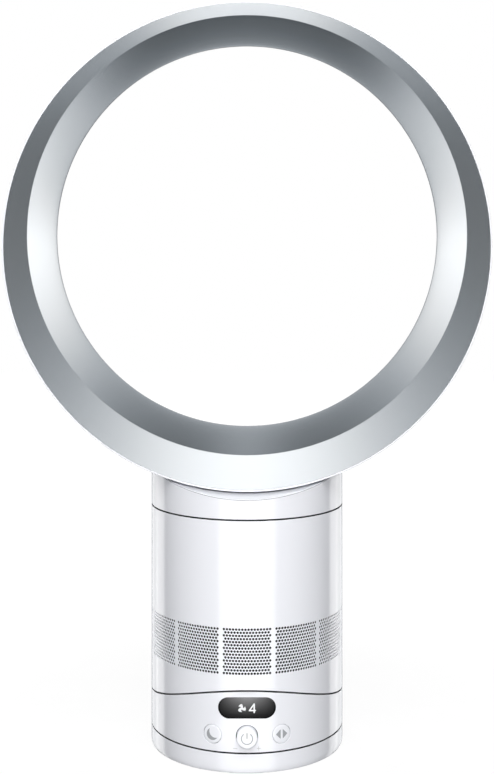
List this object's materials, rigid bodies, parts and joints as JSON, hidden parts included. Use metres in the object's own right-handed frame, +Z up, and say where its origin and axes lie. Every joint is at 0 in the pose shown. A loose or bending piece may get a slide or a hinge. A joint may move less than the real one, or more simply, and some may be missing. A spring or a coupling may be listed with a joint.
{
  "type": "bladeless fan",
  "caption": "Bladeless desk fan: a perforated cylindrical stand with a display, push buttons and a knob carries a hollow round loop that blows air from a slot round its bore.",
  "frame": {"origin": "middle of the sole's underside, on the surface that the fan stands on", "axes": "+Z up; the fan's front, with its display and knob, looks along -Y; +X is to the right of someone who faces the front"},
  "size_m": [0.3563, 0.1505, 0.5522],
  "materials": {
    "casing_white": "glossy moulded plastic",
    "control_white": "glossy moulded plastic",
    "loop_silver": "silver metallic lacquer on plastic, satin gloss",
    "display_black": "polished black window",
    "sole_rubber": "matt moulded rubber",
    "seal_rubber": "matt rubber",
    "inner_grey": "matt moulded plastic",
    "inner_dark": "matt moulded plastic",
    "cage_ivory": "waxy low-friction plastic",
    "steel": "zinc-plated steel",
    "ball_steel": "polished bearing steel",
    "contact_brass": "plated contact metal",
    "winding_copper": "enamelled copper windings",
    "board_green": "lacquered circuit board",
    "foam": "open-cell acoustic foam",
    "impeller_grey": "glass-filled moulded plastic"
  },
  "bodies": {
    "foot": {"foot_sole": "sole_rubber", "foot_shell": "casing_white", "foot_weight": "steel", "foot_screws": "steel", "swivel_post": "inner_grey", "swivel_clip": "steel", "swivel_cage": "cage_ivory", "swivel_balls": "ball_steel", "power_socket": "inner_dark", "power_pin": "contact_brass"},
    "base": {"base_floor": "inner_grey", "base_casing": "casing_white", "base_screws": "steel", "tilt_cradle": "inner_grey", "cradle_screws": "steel", "swivel_motor": "steel", "control_board": "board_green", "display_lens": "display_black", "display_module": "inner_grey", "dial_encoder": "inner_dark", "button_switches": "inner_dark"},
    "swivel_pinion": {"swivel_pinion": "cage_ivory"},
    "dial": {"dial_sleeve": "inner_grey"},
    "power_knob": {"power_knob": "control_white"},
    "sleep_button": {"sleep_button": "control_white"},
    "swing_button": {"swing_button": "control_white"},
    "upper_body": {"body_chassis": "inner_grey", "body_casing": "casing_white", "tilt_runners": "inner_dark", "runner_screws": "steel", "motor_board": "board_green", "silencer_foam": "foam", "housing_seal": "seal_rubber", "impeller_shroud": "inner_grey", "motor_bucket": "inner_grey", "motor_cap": "inner_grey", "motor_stator": "winding_copper", "lower_bearing": "steel", "upper_bearing": "steel", "top_ring": "inner_grey", "top_ring_screws": "steel", "neck_seal": "seal_rubber", "loop_collar": "casing_white", "loop_gasket": "seal_rubber", "loop_screws": "steel", "loop_outer_casing": "casing_white", "loop_inner_casing": "loop_silver", "loop_fascia": "loop_silver"},
    "impeller": {"impeller": "impeller_grey", "motor_rotor": "inner_dark", "motor_shaft": "steel"}
  },
  "joints": [
    {"name": "oscillate", "type": "hinge", "parent": "foot", "child": "base", "pos_m": [0, 0, 0.0145], "axis": [0, 0, 1], "range_deg": [-35, 35]},
    {"name": "pinion_spin", "type": "hinge", "parent": "base", "child": "swivel_pinion", "pos_m": [0, 0.0252, 0.011], "axis": [0, 0, 1], "range_deg": [-90, 90]},
    {"name": "tilt", "type": "hinge", "parent": "base", "child": "upper_body", "pos_m": [0, 0, 0.1975], "axis": [1, 0, 0], "range_deg": [-10, 10]},
    {"name": "impeller_spin", "type": "hinge", "parent": "upper_body", "child": "impeller", "pos_m": [0, 0, 0.14], "axis": [0, 0, 1], "continuous": true},
    {"name": "dial_turn", "type": "hinge", "parent": "base", "child": "dial", "pos_m": [0, -0.065, 0.0269], "axis": [0, -1, 0], "range_deg": [-20, 20], "stiffness_Nm_per_rad": 0.05},
    {"name": "power_press", "type": "slide", "parent": "dial", "child": "power_knob", "axis": [0, 1, 0], "range_m": [0, 0.0015], "stiffness_N_per_m": 700, "springref_m": -0.0008},
    {"name": "sleep_press", "type": "slide", "parent": "base", "child": "sleep_button", "axis": [0.3407, 0.9402, 0], "range_m": [0, 0.001], "stiffness_N_per_m": 800, "springref_m": -0.0006},
    {"name": "swing_press", "type": "slide", "parent": "base", "child": "swing_button", "axis": [-0.3407, 0.9402, 0], "range_m": [0, 0.001], "stiffness_N_per_m": 800, "springref_m": -0.0006}
  ],
  "couplings": [
    {"joint": "pinion_spin", "follows": "oscillate", "ratio": 2.5}
  ]
}
